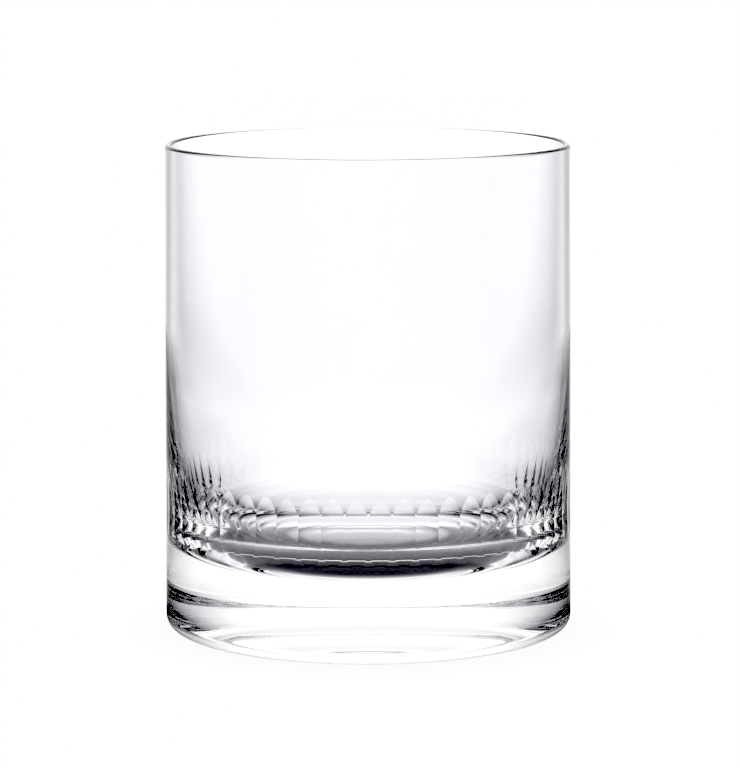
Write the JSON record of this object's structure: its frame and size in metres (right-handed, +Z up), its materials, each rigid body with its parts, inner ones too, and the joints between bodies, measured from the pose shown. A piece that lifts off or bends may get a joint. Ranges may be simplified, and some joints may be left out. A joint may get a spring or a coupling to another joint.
{
  "type": "whiskey tumbler",
  "caption": "Straight-sided clear glass tumbler with a heavy solid foot, a thin rounded rim and a band of upright wheel-cut flutes round the lower wall.",
  "frame": {"origin": "middle of the flat ring that the glass stands on", "axes": "+Z up along the glass's axis, from the foot to the rim; the glass is round, so X and Y have no preferred side"},
  "size_m": [0.08, 0.08, 0.0955],
  "materials": {
    "clear_crystal": "clear, fire polished, with ground and polished cuts"
  },
  "bodies": {
    "root": {"tumbler": "clear_crystal"}
  },
  "joints": []
}
